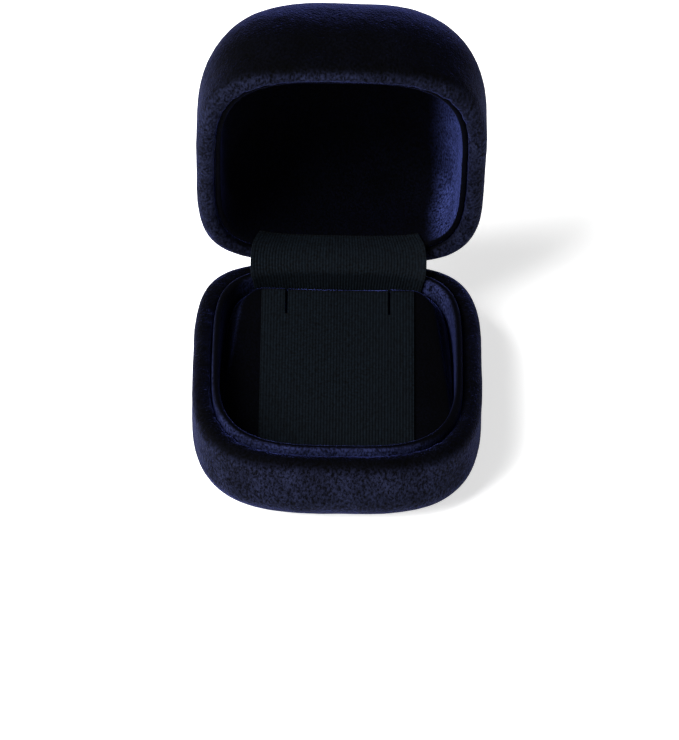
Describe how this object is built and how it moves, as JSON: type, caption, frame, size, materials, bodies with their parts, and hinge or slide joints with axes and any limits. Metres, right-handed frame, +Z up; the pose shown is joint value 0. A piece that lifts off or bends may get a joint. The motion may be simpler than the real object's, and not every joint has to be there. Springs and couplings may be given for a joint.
{
  "type": "jewelry gift box",
  "caption": "Velvet-covered clamshell earring box with a domed hinged lid, a raised lining round the base and a sloping slit insert.",
  "frame": {"origin": "middle of the underside of the base, on the surface that the box stands on", "axes": "+Z up, -Y towards the front where the box opens, +X to the right; drawn with the lid standing open"},
  "size_m": [0.062, 0.0921, 0.0862],
  "materials": {
    "outer_velvet": "short-pile navy velvet",
    "lining_velvet": "thin navy velvet",
    "ribbed_cloth": "finely ribbed near-black cloth",
    "wrap_foam": "soft closed-cell foam",
    "moulded_shell": "moulded plastic",
    "lining_card": "grey board",
    "hinge_steel": "plated steel"
  },
  "bodies": {
    "base": {"base_bottom_panel": "outer_velvet", "base_velvet": "outer_velvet", "base_foam_wrap": "wrap_foam", "base_shell": "moulded_shell", "collar_board": "lining_card", "collar_velvet": "lining_velvet", "insert_block": "wrap_foam", "insert_board": "lining_card", "insert_foam": "wrap_foam", "insert_cover": "lining_velvet", "insert_band": "ribbed_cloth", "hinge_leaf_base": "hinge_steel", "hinge_rivets_base": "hinge_steel", "hinge_pin": "hinge_steel", "hinge_springs": "hinge_steel", "hinge_strip": "ribbed_cloth"},
    "lid": {"lid_velvet": "outer_velvet", "lid_foam_wrap": "wrap_foam", "lid_shell": "moulded_shell", "lid_lining_board": "lining_card", "lid_lining_foam": "wrap_foam", "lid_lining_velvet": "lining_velvet", "hinge_leaf_lid": "hinge_steel", "hinge_rivets_lid": "hinge_steel"}
  },
  "joints": [
    {"name": "lid_hinge", "type": "hinge", "parent": "base", "child": "lid", "pos_m": [0, 0.0325, 0.019], "axis": [1, 0, 0], "range_deg": [0, 76], "deforming": ["hinge_strip"]}
  ]
}
